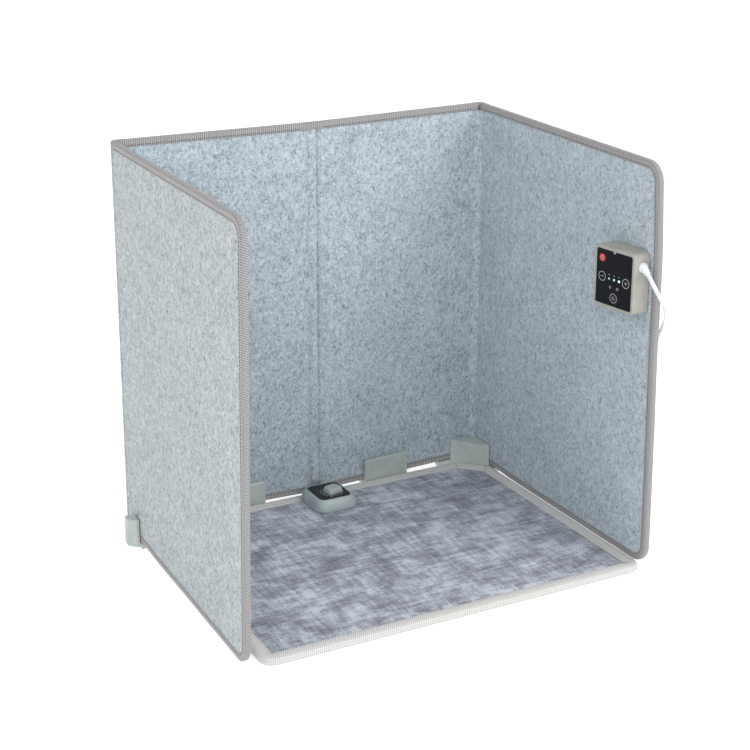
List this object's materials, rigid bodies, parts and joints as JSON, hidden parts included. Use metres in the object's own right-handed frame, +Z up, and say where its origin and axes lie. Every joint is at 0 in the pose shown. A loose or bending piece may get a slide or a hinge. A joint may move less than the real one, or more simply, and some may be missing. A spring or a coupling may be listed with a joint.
{
  "type": "folding heating screen with foot mat",
  "caption": "Folding felt heating screen for under a desk: two wings and a two-part back stand in corner feet round a heated plush mat, with two controllers and a mains lead.",
  "frame": {"origin": "middle of the footprint of the screen and its feet, on the floor", "axes": "+X to the right of a sitter facing the back, +Y towards the back, +Z up"},
  "size_m": [0.7262, 0.4959, 0.586],
  "materials": {
    "felt_inner": "needled felt, mottled blue grey",
    "felt_outer": "needled felt, pale grey",
    "screen_binding": "ribbed tape, taupe grey",
    "core_board": "plain board",
    "heating_film": "printed heating film",
    "foil": "bright foil",
    "support_plastic": "moulded, satin, grey green",
    "mat_plush": "short plush, cloudy blue grey",
    "mat_foam": "foam felt",
    "heating_wire": "silicone insulated wire",
    "mat_backing": "anti-slip backing cloth",
    "mat_binding": "ribbed tape, light grey",
    "mat_control_plastic": "moulded, satin, grey green",
    "wall_control_plastic": "moulded, satin, warm grey",
    "face_black": "glossy black panel",
    "circuit_board": "lacquered board",
    "metal": "plain",
    "relay_plastic": "moulded",
    "led_lens": "clear lens",
    "lead_white": "soft white vinyl",
    "pins": "plated"
  },
  "bodies": {
    "mat": {"mat_backing": "mat_backing", "mat_control_base": "mat_control_plastic", "mat_control_board": "circuit_board", "mat_control_face": "face_black", "mat_control_housing": "mat_control_plastic", "mat_control_potentiometer": "metal", "mat_control_screws": "metal", "mat_cord_gland": "mat_control_plastic", "mat_cover": "mat_plush", "mat_edge_binding": "mat_binding", "mat_foam": "mat_foam", "mat_heating_wire": "heating_wire", "mat_reflective_foil": "foil"},
    "mat_knob": {"mat_control_knob": "mat_control_plastic", "mat_control_shaft": "metal"},
    "right_support": {"right_corner_support": "support_plastic"},
    "left_support": {"left_corner_support": "support_plastic"},
    "right_back": {"right_back_core_board": "core_board", "right_back_edge_binding": "screen_binding", "right_back_heating_film": "heating_film", "right_back_inner_felt": "felt_inner", "right_back_outer_felt": "felt_outer", "right_back_reflective_foil": "foil", "right_straight_clip": "support_plastic", "right_fold_strip": "felt_outer", "centre_fold_strip": "felt_inner"},
    "left_back": {"left_back_core_board": "core_board", "left_back_edge_binding": "screen_binding", "left_back_heating_film": "heating_film", "left_back_inner_felt": "felt_inner", "left_back_outer_felt": "felt_outer", "left_back_reflective_foil": "foil", "left_straight_clip": "support_plastic", "left_fold_strip": "felt_outer"},
    "right_wing": {"right_wing_core_board": "core_board", "right_wing_edge_binding": "screen_binding", "right_wing_heating_film": "heating_film", "right_wing_inner_felt": "felt_inner", "right_wing_outer_felt": "felt_outer", "right_wing_reflective_foil": "foil", "wall_control_back": "wall_control_plastic", "wall_control_board": "circuit_board", "wall_control_face": "face_black", "wall_control_housing": "wall_control_plastic", "wall_control_leds": "led_lens", "wall_control_mount": "wall_control_plastic", "wall_control_relay": "relay_plastic", "wall_control_screws": "metal", "wall_control_strain_relief": "lead_white", "lead_run": "lead_white", "lead_coil": "lead_white", "plug_body": "lead_white", "plug_pins": "pins"},
    "left_wing": {"left_wing_core_board": "core_board", "left_wing_edge_binding": "screen_binding", "left_wing_heating_film": "heating_film", "left_wing_inner_felt": "felt_inner", "left_wing_outer_felt": "felt_outer", "left_wing_reflective_foil": "foil"}
  },
  "joints": [
    {"name": "knob_turn", "type": "hinge", "parent": "mat", "child": "mat_knob", "pos_m": [0.0059, 0.1532, 0.03], "axis": [0, 0, -1], "range_deg": [0, 270]},
    {"name": "mat_slide", "type": "slide", "parent": "mat", "child": "right_support", "axis": [0, 1, 0], "range_m": [0, 0.45]},
    {"name": "screen_lift", "type": "slide", "parent": "right_support", "child": "right_back", "axis": [0, 0, 1], "range_m": [0, 0.6]},
    {"name": "right_wing_fold", "type": "hinge", "parent": "right_back", "child": "right_wing", "pos_m": [0.2924, 0.2174, 0.29], "axis": [0, 0, -1], "range_deg": [0, 80.79]},
    {"name": "centre_fold", "type": "hinge", "parent": "right_back", "child": "left_back", "pos_m": [0.0009, 0.21185, 0.29], "axis": [0, 0, -1], "range_deg": [0, 161.58]},
    {"name": "left_wing_fold", "type": "hinge", "parent": "left_back", "child": "left_wing", "pos_m": [-0.2906, 0.2174, 0.29], "axis": [0, 0, 1], "range_deg": [0, 80.79]},
    {"name": "left_support_drop", "type": "slide", "parent": "left_back", "child": "left_support", "axis": [0, 0, -1], "range_m": [0, 0.6]}
  ],
  "couplings": [
    {"joint": "right_wing_fold", "follows": "screen_lift", "rad_per_m": 2.35},
    {"joint": "centre_fold", "follows": "screen_lift", "rad_per_m": 4.7},
    {"joint": "left_wing_fold", "follows": "screen_lift", "rad_per_m": 2.35},
    {"joint": "left_support_drop", "follows": "screen_lift", "ratio": 1}
  ]
}
